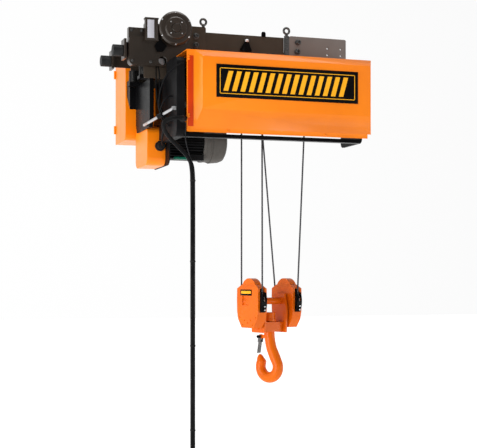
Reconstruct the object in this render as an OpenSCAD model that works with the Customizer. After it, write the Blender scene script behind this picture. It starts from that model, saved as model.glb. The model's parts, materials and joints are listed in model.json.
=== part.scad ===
// Electric wire rope hoist with a motor trolley, for the lower flange of a beam.
// X runs along the beam, Z is up. The origin is the middle of the flange's underside.
// The drum hangs on the near side (-Y) and the control box on the far side (+Y).

/* [Beam and trolley] */
// Width of the beam flange that the trolley runs on
flange_w = 190; // [180:2:200]
// Thickness of the beam flange
flange_t = 16; // [12:1:18]
// Distance between the two wheel axles
wheel_base = 900; // [880:10:920]
// Radius of a wheel's tread
wheel_r = 55; // [52:1:56]
// Height of the side plates over the flange's underside
plate_top = 268; // [260:2:276]
// Thickness of a side plate
plate_t = 12; // [10:1:14]
// Gap between the flange's edge and a side plate
plate_gap = 65; // [63:1:67]

/* [Drum and rope] */
// Wire rope diameter
rope_d = 10; // [8:1:11]
// Radius of the drum at the rope's centre
drum_r = 115; // [110:1:118]
// Length of the grooved drum
drum_len = 930; // [900:10:950]
// Distance between two turns of rope
rope_pitch = 11.5; // [11.2:0.1:12]

/* [Hook block] */
// Radius of a sheave at the rope's centre
sheave_r = 104; // [100:1:106]
// Distance between the middles of the two block sheaves
sheave_span = 256; // [250:2:260]
// Turn of the block about the vertical
block_yaw = 17; // [12:1:20]
// Height of the block's axle
block_z = -1270; // [-1300:10:-1240]
// Inner radius of the hook's bowl
hook_in_r = 30; // [29:1:32]
// Radius of the hook's round section
hook_bar_r = 33; // [31:1:34]

/* [Hoist motor] */
// Radius over the motor's fins
motor_r = 118; // [112:1:120]
// Length of the finned body
motor_len = 236; // [220:4:244]

/* [Pendant] */
// Diameter of the pendant cable
cable_d = 22; // [18:1:24]
// Height of the pendant station
pendant_h = 240; // [230:5:260]

/* [Hidden] */
$fn = 48;
plate_y = flange_w/2 + plate_gap;        // inner face of a side plate
wheel_x = wheel_base/2;
wheel_z = flange_t + wheel_r + 0.5;
wheel_w = 38;
wheel_mid_y = flange_w/2 - 6 - wheel_w/2;
axle_r = 15;
roller_r = 30;
roller_y = flange_w/2 + roller_r + 3;
roller_x = 532;
frame_x = 500;                            // middle of an end frame
frame_t = 24;
drum_y = -300;
drum_z = -140;
drum_x0 = -335;
drum_x1 = drum_x0 + drum_len;
drum_core = drum_r - rope_d/2;
rope_exit_x = 411;
wound_turns = 33;                         // for 5.5 m of lift with two turns to spare
cover_x0 = -379;
cover_x1 = 699;
cover_z0 = -347;
cover_z1 = 95;
cover_y = -462;                           // back of the cover's flange
cover_rise = 36;                          // how far the centre panel stands out
sheet = 3;
gear_x0 = -432;                           // gearbox housing
gear_x1 = -386;
motor_y = 86;
motor_z = -336;
motor_x0 = -384;
brake_y0 = -60;                           // brake cover
brake_y1 = 232;
brake_z0 = -492;
brake_z1 = -268;
box_x0 = -558;                            // control box
box_x1 = -20;
box_y0 = 246;
box_y1 = 520;
box_z0 = -318;
box_z1 = 200;
cover_half = 104;                         // half depth of a sheave cover
block_x = 256;
block_y = 0;
upper_x = 197;
upper_y = -25;
upper_z = drum_z;
upper_yaw = -17;
sheave_w = 30;
hook_z = block_z - 390;                   // centre of the hook's bowl
hook_mid_r = hook_in_r + hook_bar_r;
hook_yaw = -56;                           // turn of the hook about its swivel axis at rest
latch_pivot = [-62, 0, block_z - 212];
latch_lean = 9;
eye_x = 302;                              // right lifting eye
travel_x = -387;
travel_z = 246;
travel_y0 = -180;
pendant_x = -360;
pendant_y = -505;
pendant_top = -2250;
gland_p = [-400, cover_y + 10, -280];
black = [0.06, 0.06, 0.065];
orange = [0.95, 0.45, 0.04];
bronze = [0.25, 0.2, 0.17];
steel = [0.6, 0.6, 0.62];

// ---- shared shapes ----

// A box from one corner to the opposite one
module span(a, b) translate(a) cube(b - a);

// A cylinder along +X from x0 to x1
module bar_x(x0, x1, r, y = 0, z = 0)
    translate([x0, y, z]) rotate([0, 90, 0]) cylinder(h = x1 - x0, r = r);

// A cylinder along +Y from y0 to y1
module bar_y(y0, y1, r, x = 0, z = 0)
    translate([x, y0, z]) rotate([-90, 0, 0]) cylinder(h = y1 - y0, r = r);

// A straight round bar between two points
module strut(a, b, r) {
    v = b - a;
    len = norm(v);
    translate(a) rotate([0, acos(v.z/len), atan2(v.y, v.x)]) cylinder(h = len, r = r);
}

// A plate in the XZ plane with rounded corners, from y0 to y1
module round_plate(x0, x1, z0, z1, y0, y1, r)
    translate([0, y1, 0]) rotate([90, 0, 0]) linear_extrude(y1 - y0)
        rounded(x0, x1, z0, z1, r);

// A rectangle with quarter-round corners, made of exact arcs
module rounded(x0, x1, y0, y1, r) {
    translate([x0 + r, y0]) square([x1 - x0 - 2*r, y1 - y0]);
    translate([x0, y0 + r]) square([x1 - x0, y1 - y0 - 2*r]);
    for (x = [x0 + r, x1 - r], y = [y0 + r, y1 - r]) translate([x, y]) circle(r);
}

// A grooved sheave on the X axis, with a bore for its axle
module sheave(bore) rotate([0, 90, 0]) rotate_extrude($fn = 96) polygon([
    [bore, -sheave_w/2], [bore + 16, -sheave_w/2], [bore + 20, -8],
    [sheave_r - 22, -8], [sheave_r - 16, -sheave_w/2 + 2], [sheave_r + 9, -sheave_w/2 + 2],
    [sheave_r - rope_d/2 - 0.4, -4.6], [sheave_r - rope_d/2 - 0.4, 4.6],
    [sheave_r + 9, sheave_w/2 - 2], [sheave_r - 16, sheave_w/2 - 2],
    [sheave_r - 22, 8], [bore + 20, 8], [bore + 16, sheave_w/2], [bore, sheave_w/2]]);

// The frame of the hook block: local X is the axle, the origin is its middle
module at_block() translate([block_x, block_y, block_z]) rotate([0, 0, block_yaw])
    children();

// The frame of the upper sheave
module at_upper() translate([upper_x, upper_y, upper_z]) rotate([0, 0, upper_yaw])
    children();

// Where a rope touches a sheave: side -1 is near, +1 is far
function contact(x, y, yaw, along, side) =
    [x + along*cos(yaw) - side*sheave_r*sin(yaw), y + along*sin(yaw) + side*sheave_r*cos(yaw)];

// A tube of n sides swept along points
function unit(v) = v/norm(v);
function path_dir(p, i) =
    unit(p[min(i + 1, len(p) - 1)] - p[max(i - 1, 0)]);
function ring(p, i, r, n) =
    let (d = path_dir(p, i), s = unit(cross(d, [0.31, 1, 0.17])), t = cross(d, s))
    [for (k = [0 : n - 1]) p[i] + r*(cos(360*k/n)*s + sin(360*k/n)*t)];
function bend(p, i, f) =
    let (a = p[max(i - 1, 0)], b = p[i], c = p[i + 1], e = p[min(i + 2, len(p) - 1)])
    0.5*(2*b + (c - a)*f + (2*a - 5*b + 4*c - e)*f*f + (3*b - a - 3*c + e)*f*f*f);
function smooth(p, steps) = concat(
    [for (i = [0 : len(p) - 2], k = [0 : steps - 1]) bend(p, i, k/steps)], [p[len(p) - 1]]);

module tube(p, r, n) {
    m = len(p);
    points = [for (i = [0 : m - 1]) each ring(p, i, r, n)];
    sides = [for (i = [0 : m - 2], k = [0 : n - 1])
        [i*n + k, i*n + (k + 1)%n, (i + 1)*n + (k + 1)%n, (i + 1)*n + k]];
    first = [for (k = [n - 1 : -1 : 0]) k];
    last = [for (k = [0 : n - 1]) (m - 1)*n + k];
    polyhedron(points = points,
        faces = concat([first], sides, [last]));
}

// ---- trolley ----

module near_plate_left() color(bronze) difference() {
    round_plate(-545, -186, -20, plate_top + 17, -plate_y - plate_t, -plate_y, 10);
    bar_y(-plate_y - 60, -plate_y + 20, axle_r + 0.05, -wheel_x, wheel_z);
    bar_y(-plate_y - 60, -plate_y + 20, 12, travel_x, travel_z);
}

module near_plate_middle() color(bronze)
    round_plate(-186, 288, -20, plate_top - 10, -plate_y, -plate_y + 10, 4);

module near_plate_right() color(bronze) difference() {
    round_plate(317, 673, -20, plate_top, -plate_y - plate_t, -plate_y, 10);
    bar_y(-plate_y - 60, -plate_y + 20, axle_r + 0.05, wheel_x, wheel_z);
    for (x = [556, 640], z = [172, 210])
        bar_y(-plate_y - 60, -plate_y + 20, 5.5, x, z);
}

module far_side_plate() color(bronze) difference() {
    round_plate(-545, 673, -20, plate_top - 28, plate_y, plate_y + plate_t, 10);
    for (x = [-wheel_x, wheel_x])
        bar_y(plate_y - 20, plate_y + 60, axle_r + 0.05, x, wheel_z);
}

module bolts_and_screws() {
    color(black) for (p = [[-244, 230], [370, 233], [366, 178], [-244, 178]]) {
        bar_y(-plate_y - plate_t - 16, -plate_y - plate_t, 15, p.x, p.y);
        translate([p.x, -plate_y - plate_t - 16, p.y]) rotate([90, 0, 0])
            cylinder(h = 12, r = 13, $fn = 6);
    }
    color(orange) for (p = [[-150, cover_z0 + 12], [420, cover_z0 + 12],
            [cover_x0 + 11, 55], [cover_x0 + 11, 47], [cover_x0 + 11, -255],
            [cover_x0 + 11, -263]])
        bar_y(cover_y - sheet - 3, cover_y - sheet, 3.5, p.x, p.y);
}

// The right eye stands on a post that joins the middle plate to the right one
module lifting_eyes() color(steel) {
    for (x = [-200, eye_x]) translate([x, -plate_y - plate_t/2, 0]) {
        top = x < 0 ? plate_top + 17 : plate_top;
        translate([0, 0, top]) cylinder(h = 12, r = 9);
        difference() {
            translate([0, 0, top + 29]) rotate([90, 0, 0]) rotate_extrude()
                translate([17, 0]) circle(6.5);
            translate([0, 0, top]) cylinder(h = 11, r = 9);
        }
    }
    span([288.5, -plate_y - plate_t, -20], [316.5, -plate_y, plate_top]);
}

module wheel(x, side) translate([x, side*wheel_mid_y, wheel_z]) rotate([-90*side, 0, 0])
    rotate_extrude($fn = 72) polygon([
        [axle_r + 0.05, -wheel_w/2], [wheel_r, -wheel_w/2], [wheel_r, wheel_w/2 - 4],
        [wheel_r, wheel_w/2], [wheel_r - 14, wheel_w/2 + 6], [axle_r + 0.05, wheel_w/2 + 6]]);

// The driven wheel carries a toothed rim outside its tread
module near_wheel_left() color(steel) {
    wheel(-wheel_x, -1);
    translate([-wheel_x, -wheel_mid_y - wheel_w/2 - 6, wheel_z]) rotate([90, 0, 0])
        difference() {
            linear_extrude(20) difference() {
                circle(50);
                for (k = [0 : 35]) rotate(k*10) translate([50, 0]) circle(2, $fn = 4);
            }
            translate([0, 0, -1]) cylinder(h = 22, r = axle_r + 0.05);
        }
}
module near_wheel_right() color(steel) wheel(wheel_x, -1);
module far_wheel_left() color(steel) wheel(-wheel_x, 1);
module far_wheel_right() color(steel) wheel(wheel_x, 1);

module wheel_axles() color(steel) for (x = [-wheel_x, wheel_x], side = [-1, 1])
    if (side < 0) axle_pin(x, -plate_y - plate_t - 14, -wheel_mid_y + wheel_w/2 + 4);
    else axle_pin(x, wheel_mid_y - wheel_w/2 - 4, plate_y + plate_t + 14);

module axle_pin(x, y0, y1) {
    bar_y(y0, y1, axle_r, x, wheel_z);
    bar_y(y0 < -plate_y ? y0 : y1 - 14, y0 < -plate_y ? y0 + 14 : y1, axle_r + 7, x, wheel_z);
}

// Side rollers bear on the flange's edge; each turns on a stud of its end frame
module guide_roller(x, side) color(black) translate([x, side*roller_y, 0]) difference() {
    translate([0, 0, 2]) cylinder(h = 66, r = roller_r);
    translate([0, 0, 1]) cylinder(h = 68, r = 10.1);
}
module guide_roller_near_left() guide_roller(-roller_x, -1);
module guide_roller_far_left() guide_roller(-roller_x, 1);
module guide_roller_near_right() guide_roller(roller_x + 100, -1);
module guide_roller_far_right() guide_roller(roller_x + 100, 1);

// An end frame passes under the beam, with two arms that carry the side rollers
module end_frame(x, roller, low) color(black) {
    translate([x - frame_t/2, 0, 0]) rotate([90, 0, 90]) linear_extrude(frame_t)
        polygon([[-plate_y - plate_t, -20], [plate_y + plate_t, -20],
            [plate_y + plate_t, low + 50], [150, low], [-150, low],
            [-plate_y - plate_t, low + 50]]);
    for (side = [-1, 1]) {
        span([min(x, roller) - 34, side*roller_y - 30, -20],
            [max(x, roller) + 34, side*roller_y + 30, -1]);
        translate([roller, side*roller_y, -1]) cylinder(h = 76, r = 10);
    }
}

// The left end frame is thinner over the brake cover and has a bracket for the control box
module end_frame_left() {
    difference() {
        end_frame(-frame_x, -roller_x, -290);
        span([-501, brake_y0 - 3, -300], [-480, plate_y + plate_t + 1, brake_z1 + 3]);
    }
    color(black) translate([-frame_x - 50, 0, 0]) rotate([90, 0, 90]) linear_extrude(62)
        polygon([[plate_y + plate_t - 8, -150], [box_y0, -62], [box_y0, 24],
            [plate_y + plate_t, 24], [plate_y + plate_t, -20], [plate_y + plate_t - 8, -20]]);
}
module end_frame_right() end_frame(roller_x + 100, roller_x + 100, -230);

module bumpers() color(black) for (side = [-1, 1])
    bar_x(-722, -664, 32, side*(plate_y + 6), 124);

module bumper_brackets() color(bronze) for (side = [-1, 1]) {
    y0 = side*(plate_y + 6) - 40;
    span([-664, y0, 76], [-650, y0 + 80, 186]);
    span([-650, side*(plate_y + 6) - 6, 90], [-545, side*(plate_y + 6) + 6, 172]);
}

// ---- travel drive ----

module travel_gearcase() color(bronze) difference() {
    union() {
        round_plate(-640, -300, 40, 200, travel_y0 - 44, -plate_y - plate_t, 24);
        span([-640, travel_y0 - 30, 140], [-548, -plate_y - plate_t, 248]);
        bar_y(travel_y0 - 20, -plate_y - plate_t, 78, travel_x, travel_z);
    }
    span([-500, travel_y0 - 30, 52], [-330, travel_y0 + 9, 188]);
    bar_y(travel_y0 - 60, 0, 12, travel_x, travel_z);
    bar_y(travel_y0 - 60, 0, 24, -wheel_x, wheel_z);
    for (p = [[-244, 230], [-244, 178]]) bar_y(travel_y0 - 60, 0, 20, p.x, p.y);
}

module travel_motor() color(bronze) difference() {
    bar_y(travel_y0 - 72, travel_y0 - 20, 84, travel_x, travel_z);
    bar_y(travel_y0 - 66, travel_y0, 66, travel_x, travel_z);
    bar_y(travel_y0 - 80, travel_y0, 12, travel_x, travel_z);
    bar_y(travel_y0 - 20.5, travel_y0, 79, travel_x, travel_z);
    span([-545, travel_y0 - 44, 30], [-290, travel_y0, 200]);
}

module travel_motor_cover() color(bronze) difference() {
    translate([travel_x, travel_y0 - 72, travel_z]) rotate([90, 0, 0]) rotate_extrude($fn = 96)
        polygon([[0, 0], [94, 0], [94, 14], [84, 20], [62, 20], [62, 26], [56, 30], [30, 30],
            [28, 26], [22, 26], [22, 32], [0, 32]]);
    bar_y(travel_y0 - 90, travel_y0 - 60, 10, travel_x, travel_z);
}

module travel_terminal_box() {
    color(bronze) difference() {
        span([-556, travel_y0 - 76, 174], [-484, travel_y0 - 44, 297]);
        span([-550, travel_y0 - 70, 180], [-490, travel_y0 - 50, 290]);
    }
    color("white") span([-544, travel_y0 - 77, 186], [-508, travel_y0 - 76, 286]);
}

// The travel motor's shaft and pinion, which drives the toothed rim
module travel_pinion() color(steel) {
    bar_y(travel_y0 - 84, -plate_y - plate_t + 60, 9.95, travel_x, travel_z);
    bar_y(travel_y0 - 60, travel_y0 - 52, 60, travel_x, travel_z);
}

// ---- hoist ----

// The thin part behind the brake cover carries the hoist motor
module gearbox_housing() color(black) difference() {
    union() {
        translate([gear_x0, 0, 0]) rotate([90, 0, 90]) linear_extrude(gear_x1 - gear_x0)
            difference() {
                rounded(cover_y + 10, 20, -372, 60, 40);
                translate([brake_y0 - 6, -400]) square([200, 400 + brake_z1 + 4]);
            }
        translate([gear_x1 - 6, 0, 0]) rotate([90, 0, 90]) linear_extrude(6)
            rounded(-140, brake_y1 + 4, brake_z0 - 4, -205, 46);
    }
    bar_x(gear_x0 + 6, gear_x1 + 1, 96, drum_y, drum_z);
    bar_x(gear_x0 - 1, gear_x1 + 1, 26, motor_y, motor_z);
    span([gear_x0 - 1, -plate_y - 70, -20], [gear_x1 + 1, 30, 80]);
    span([gear_x0 - 1, -108, -373], [-395, brake_y0, -352]);
}

// Right end plate, the channel under the drum and the rear angle that joins them
module drum_frame() color(black) {
    difference() {
        translate([640, 0, 0]) rotate([90, 0, 90]) linear_extrude(12)
            rounded(cover_y + 10, -plate_y - plate_t, -372, 60, 30);
        bar_x(639, 653, 30, drum_y, drum_z);
    }
    span([gear_x1, cover_y + 14, -372], [640, cover_y + 54, -352]);
    span([gear_x1, -plate_y - 22, -20], [640, -plate_y - plate_t, 40]);
    span([gear_x1, -plate_y - 34, 30], [640, -plate_y - plate_t, 40]);
}

module drum() color(steel) difference() {
    union() {
        bar_x(drum_x0, drum_x1, drum_core, drum_y, drum_z);
        bar_x(drum_x0 - 8, drum_x0, drum_core + 16, drum_y, drum_z);
        bar_x(drum_x1, drum_x1 + 8, drum_core + 16, drum_y, drum_z);
        bar_x(gear_x0 + 10, drum_x0, 60, drum_y, drum_z);
        bar_x(gear_x0 + 14, gear_x0 + 36, 90, drum_y, drum_z);
        bar_x(drum_x1, 656, 29.95, drum_y, drum_z);
    }
    bar_x(drum_x0 + 12, drum_x1 - 12, drum_core - 14, drum_y, drum_z);
}

module rope_winding() color(black) difference() {
    x0 = rope_exit_x - wound_turns*rope_pitch;
    bar_x(x0, rope_exit_x - rope_d/2 - 0.6, drum_r + rope_d/2, drum_y, drum_z);
    bar_x(x0 - 1, rope_exit_x + rope_d, drum_core, drum_y, drum_z);
}

// A split ring that follows the rope along the drum, open where the rope leaves
module rope_guide() color(bronze) difference() {
    bar_x(rope_exit_x - 24, rope_exit_x + 24, drum_r + 20, drum_y, drum_z);
    bar_x(rope_exit_x - 25, rope_exit_x + 25, drum_r + 7, drum_y, drum_z);
    span([rope_exit_x - 30, drum_y + 40, drum_z - 95], [rope_exit_x + 30, drum_y + 150, drum_z + 20]);
}

// Sheet steel cover: a flat flange, bevels on all sides and a raised centre panel
module cover_form(grow) {
    x0 = cover_x0 + 40;
    face = cover_y - cover_rise - sheet - grow;
    hull() {
        span([x0 - grow, cover_y - sheet, cover_z0 + 24 - grow],
            [cover_x1 + grow, cover_y - sheet + 1, cover_z1 + grow]);
        round_plate(x0 + 38 - grow, cover_x1 - 18 + grow, cover_z0 + 116 - grow,
            cover_z1 - 38 + grow, face, face + 1, 14);
        span([x0 - grow, cover_y + 1, cover_z0 + 24 - grow],
            [cover_x1 + grow, cover_y + 2, cover_z1 + grow]);
    }
}

module drum_cover() color(orange) difference() {
    union() {
        cover_form(0);
        span([cover_x0, cover_y - sheet, cover_z0], [cover_x1 - 20, cover_y, cover_z1]);
        span([cover_x0, cover_y - sheet, cover_z1 - sheet], [cover_x1 - 8, -plate_y - 70, cover_z1]);
        span([cover_x1 - 8 - sheet, cover_y, -270], [cover_x1 - 8, -plate_y - 70, cover_z1]);
    }
    cover_form(-sheet);
    span([cover_x0 + 44, cover_y - 1, cover_z0 + 30], [cover_x1 - 12, cover_y + 4, cover_z1 - 6]);
}

module nameplate() color(black)
    span([-225, cover_y - cover_rise - 2*sheet, -160], [603, cover_y - cover_rise - sheet, 18]);

// Cross member under the beam: holds the upper sheave's pin and the rope's dead end
module sheave_crossbeam() color(black) {
    span([upper_x - 60, -plate_y + 10, -20], [upper_x + 60, plate_y, -6]);
    at_upper() {
        for (side = [-1, 1])
            span([side*24 - 5, -40, -45], [side*24 + 5, 40, 124]);
        bar_x(-42, 42, 19.95);
        for (side = [-1, 1]) bar_x(side*36 - 6, side*36 + 6, 28);
    }
    anchor = contact(block_x, block_y, block_yaw, -sheave_span/2, 1);
    translate([anchor.x, anchor.y, drum_z]) {
        cylinder(h = 70, r1 = 8, r2 = 16);
        translate([0, 0, 70]) cylinder(h = 56, r = 14);
    }
    span([anchor.x - 30, anchor.y - 26, -20], [upper_x - 60, anchor.y + 26, -6]);
}

module upper_sheave() color(steel) at_upper() sheave(20);

module hoist_motor_body() color(black) {
    difference() {
        union() {
            bar_x(motor_x0 + 8, motor_x0 + motor_len, motor_r - 18, motor_y, motor_z);
            intersection() {
                bar_x(motor_x0 + 14, motor_x0 + motor_len - 6, motor_r, motor_y, motor_z);
                for (k = [-7 : 7])
                    span([motor_x0, motor_y - 130, motor_z + k*15 - 2],
                        [motor_x0 + motor_len, motor_y + 130, motor_z + k*15 + 2]);
            }
            bar_x(gear_x1, motor_x0 + 14, motor_r, motor_y, motor_z);
        }
        bar_x(motor_x0 + 20, motor_x0 + motor_len + 1, motor_r - 30, motor_y, motor_z);
        bar_x(gear_x1 - 1, motor_x0 + 30, 26, motor_y, motor_z);
    }
    color(bronze) difference() {
        bar_x(motor_x0 + motor_len, motor_x0 + motor_len + 52, motor_r - 2, motor_y, motor_z);
        bar_x(motor_x0 + motor_len - 1, motor_x0 + motor_len + 46, motor_r - 30, motor_y, motor_z);
        bar_x(motor_x0 + motor_len, motor_x0 + motor_len + 60, 20, motor_y, motor_z);
    }
    span([motor_x0 + 150, motor_y - 100, motor_z - motor_r], [motor_x0 + 232, motor_y - 40, motor_z - 84]);
}

module motor_fan_cover() color([0.4, 0.38, 0.36]) translate([motor_x0 + motor_len + 52, motor_y, motor_z])
    rotate([0, 90, 0]) difference() {
        rotate_extrude($fn = 96) polygon([[0, 90], [90, 90], [108, 80], [118, 56], [124, 0],
            [121, 0], [115, 55], [105, 78], [89, 87], [0, 87]]);
        for (k = [0 : 11]) rotate(k*30) translate([58, 0, 80]) cylinder(h = 20, r = 10);
    }

// Motor shaft, rotor, brake disc and cooling fan
module motor_rotor() color(steel) {
    bar_x(-484, motor_x0 + motor_len + 120, 19.95, motor_y, motor_z);
    bar_x(motor_x0 + 32, motor_x0 + motor_len - 20, motor_r - 40, motor_y, motor_z);
    bar_x(-466, -454, 56, motor_y, motor_z);
    translate([motor_x0 + motor_len + 64, motor_y, motor_z]) rotate([0, 90, 0]) {
        cylinder(h = 50, r = 32);
        for (k = [0 : 7]) rotate(k*45) translate([20, -2, 0]) cube([78, 4, 44]);
    }
}

module brake_cover() color(orange) difference() {
    translate([-500, 0, 0]) rotate([90, 0, 90]) linear_extrude(gear_x1 - 6 + 500)
        rounded(brake_y0, brake_y1, brake_z0, brake_z1, 46);
    translate([-494, 0, 0]) rotate([90, 0, 90]) linear_extrude(gear_x1 + 500)
        rounded(brake_y0 + 6, brake_y1 - 6, brake_z0 + 6, brake_z1 - 6, 42);
}

// The rod runs from a lug of the gearbox back to the left end frame
module tie_rod() {
    a = [-446, -440, -222];
    bend_at = [-521.6, -186, -270];
    color(steel) {
        strut(a, bend_at, 8);
        translate(bend_at) sphere(9);
        strut(bend_at, [-521.6, -81, -271], 8);
        span([a.x - 8, a.y - 6, a.z - 10], [gear_x0, a.y + 8, a.z + 10]);
    }
    color(black) strut(a + 0.42*(bend_at - a), a + 0.58*(bend_at - a), 14);
}

// ---- control box ----

module control_box() color(orange) difference() {
    union() {
        span([box_x0, box_y0, box_z0 + 35], [box_x1, box_y1, box_z1]);
        bar_x(box_x0, box_x1, 35, box_y0 + 35, box_z0 + 35);
        span([box_x0, box_y0 + 35, box_z0], [box_x1, box_y1, box_z0 + 36]);
    }
    span([box_x0 + 4, box_y0 + 4, box_z0 + 35], [box_x1 - 4, box_y1 + 1, box_z1 - 4]);
    bar_x(box_x1 - 5, box_x1 + 1, 14, 400, -60);
}

module control_box_door() color(orange) {
    span([box_x0, box_y1 + 0.5, box_z0], [box_x1, box_y1 + 5, box_z1]);
    for (z = [box_z0 + 90, box_z1 - 90])
        translate([box_x0 - 5, box_y1 + 6, z - 25]) cylinder(h = 50, r = 6);
}

module contactor_panel() {
    color(steel) span([box_x0 + 30, box_y0 + 10, box_z0 + 60], [box_x1 - 30, box_y0 + 13, box_z1 - 30]);
    color(black) for (k = [0 : 3], z = [-200, -20])
        span([box_x0 + 50 + k*112, box_y0 + 13, z], [box_x0 + 130 + k*112, box_y0 + 103, z + 110]);
}

// Glands for the pendant cable and the brake cable, and the power entry with its bore
module cable_glands() color(black) {
    translate(gland_p) rotate([90, 0, 0]) {
        cylinder(h = 12, r = 18);
        translate([0, 0, 12]) cylinder(h = 12, r = 15);
    }
    translate([-426, -60, -384]) rotate([90, 0, 0]) {
        cylinder(h = 18, r = 29);
        translate([0, 0, 18]) cylinder(h = 24, r = 20);
    }
    translate([box_x1, 400, -60]) rotate([0, 90, 0]) difference() {
        cylinder(h = 26, r = 20);
        translate([0, 0, -1]) cylinder(h = 28, r = 12.5);
    }
}

// ---- cables ----

pendant_points = [[-400, -478, -280], [-402, -496, -281], [-425, -522, -283],
    [-480, -534, -290], [-520, -534, -312], [-522, -530, -345], [-490, -522, -390],
    [-435, -514, -440], [-385, -508, -490], [-364, -505, -550], [-360, -505, -700],
    [-360, -505, -1100], [-360, -505, -1500], [-360, -505, -1900], [-360, -505, -2250]];
module pendant_cable() color(black) tube(smooth(pendant_points, 4), cable_d/2, 10);

harness_points = [[-426, -104, -384], [-430, -132, -382], [-446, -190, -364],
    [-456, -250, -330], [-458, -300, -290], [-452, -340, -266], [-435, -350, -262]];
module harness_cable() color(black) tube(smooth(harness_points, 4), 6, 8);

// ---- pendant station ----

module pendant_body() color("gold") translate([pendant_x, pendant_y, 0]) {
    difference() {
        translate([0, 0, pendant_top - 40 - pendant_h]) linear_extrude(pendant_h)
            rounded(-34, 34, -30, 30, 16);
        for (k = [0 : 3]) translate([0, -31, pendant_top - 120 - k*38]) rotate([-90, 0, 0])
            cylinder(h = 22, r = 12.5);
        translate([0, -31, pendant_top - 76]) rotate([-90, 0, 0]) cylinder(h = 22, r = 10.3);
    }
    color(black) translate([0, 0, pendant_top - 40]) cylinder(h = 40, r1 = 24, r2 = cable_d/2 + 4);
}

module button(k, hue) color(hue) translate([pendant_x, pendant_y - 14, pendant_top - 120 - k*38])
    rotate([90, 0, 0]) cylinder(h = 24, r = 12.2);
module button_up() button(0, "white");
module button_down() button(1, black);
module button_left() button(2, "white");
module button_right() button(3, black);
module stop_button() color("red") translate([pendant_x, pendant_y - 14, pendant_top - 76])
    rotate([90, 0, 0]) {
        cylinder(h = 24, r = 10);
        translate([0, 0, 24]) cylinder(h = 12, r = 18);
    }

// ---- hook block ----

module block_frame() color(orange) at_block() {
    for (side = [-1, 1]) difference() {
        translate([side*78 - 6, 0, 0]) rotate([90, 0, 90]) linear_extrude(12) polygon([
            [-52, 44], [52, 44], [72, -60], [62, -186], [-62, -186], [-72, -60]]);
        bar_x(-90, 90, 15.05, 0, -150);
    }
    bar_x(-157, 157, 19.95);
    for (side = [-1, 1]) bar_x(side*90 - 6, side*90 + 6, 40);
}

// One sheave cover: a shell round the sheave with a narrower dome between its two falls
module sheave_cover() difference() {
    union() {
        bar_x(-22, 22, 74, 0, 60);
        translate([-32, 0, 0]) rotate([90, 0, 90]) linear_extrude(64) polygon([
            [-cover_half, 74], [-cover_half - 2, 10], [-cover_half, -60], [-94, -106],
            [-58, -156], [58, -156], [94, -106], [cover_half, -60], [cover_half + 2, 10],
            [cover_half, 74]]);
        hull() {
            span([-32, -cover_half, 70], [32, cover_half, 74]);
            span([-22, -72, 94], [22, 72, 96]);
        }
    }
    bar_x(-17, 17, 116);
    bar_x(-33, 33, 20);
    for (side = [-1, 1]) {
        span([-18, side*107 - 17, 0], [18, side*107 + 17, 140]);
        span([side*29 - 3.5, -10, -24], [side*29 + 3.5, 50, 30]);
    }
    span([-18, -140, -64], [18, -90, 10]);
}
module block_covers() color(orange) at_block() for (side = [-1, 1])
    translate([side*sheave_span/2, 0, 0]) sheave_cover();

module block_sheave_a() color(steel) at_block() translate([-sheave_span/2, 0, 0]) sheave(20);
module block_sheave_b() color(steel) at_block() translate([sheave_span/2, 0, 0]) sheave(20);

// Each guard follows the rim of its sheave and forks round the near fall
module rope_guards() color(black) at_block() for (side = [-1, 1])
    translate([side*sheave_span/2, 0, 0]) difference() {
        bar_x(-18, 18, 128);
        bar_x(-19, 19, 116.5);
        span([-20, -100, -140], [20, 140, 140]);
        span([-20, -140, -140], [20, 0, -63.5]);
        span([-20, -140, 52], [20, 0, 140]);
        span([-11, -140, 0], [11, 0, 140]);
    }

module crosshead() color(orange) at_block() difference() {
    union() {
        span([-70, -40, -180], [70, 40, -124]);
        bar_x(-90, -70, 15, 0, -150);
        bar_x(70, 90, 15, 0, -150);
    }
    translate([0, 0, -181]) cylinder(h = 60, r = 20.05);
}

// The frame of the hook: local Z is the swivel axis, the mouth opens towards local -X
module at_hook() translate([block_x, block_y, 0]) rotate([0, 0, hook_yaw]) children();

module hook() color(orange) at_hook() {
    arc_end = 24;
    tip_start = 155;
    neck = [13, 0, block_z - 270];
    translate([0, 0, block_z - 190]) cylinder(h = 115, r = 20);
    translate([0, 0, block_z - 196]) cylinder(h = 15.5, r = 32);
    translate([0, 0, hook_z]) rotate([90, 0, 0]) rotate([0, 0, tip_start - 360])
        rotate_extrude(angle = 360 - tip_start + arc_end, $fn = 72)
            translate([hook_mid_r, 0]) circle(hook_bar_r);
    hull() {
        translate([0, 0, block_z - 196]) cylinder(h = 2, r = 30, $fn = 32);
        translate(neck) sphere(31, $fn = 32);
    }
    hull() {
        translate(neck) sphere(31, $fn = 32);
        translate([hook_mid_r*cos(arc_end), 0, hook_z + hook_mid_r*sin(arc_end)])
            sphere(hook_bar_r, $fn = 32);
    }
    hull() {
        translate([hook_mid_r*cos(tip_start), 0, hook_z + hook_mid_r*sin(tip_start)])
            sphere(hook_bar_r - 0.5, $fn = 32);
        translate([-hook_mid_r - 3, 0, hook_z + 56]) sphere(19, $fn = 32);
    }
    translate(latch_pivot) difference() {
        span([-13, -9, -12], [42, 9, 12]);
        bar_y(-10, 10, 5.05);
    }
}

module hook_nut() color(orange) translate([block_x, block_y, block_z - 121]) {
    difference() {
        union() {
            cylinder(h = 14, r = 38);
            translate([0, 0, 14]) cylinder(h = 40, r = 34);
        }
        translate([0, 0, -1]) cylinder(h = 47.5, r = 20.05);
    }
}

// Sprung latch on a cross pin through the lug at the side of the hook's neck
module hook_latch() color(steel) at_hook() translate(latch_pivot) {
    bar_y(-20, 20, 5);
    rotate([0, 180 + latch_lean, 0]) {
        for (side = [-1, 1]) span([-8, side*14 - 3, -8], [8, side*14 + 3, 34]);
        span([-1.5, -17, 22], [1.5, 17, 100]);
    }
}

// ---- rope ----

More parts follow.
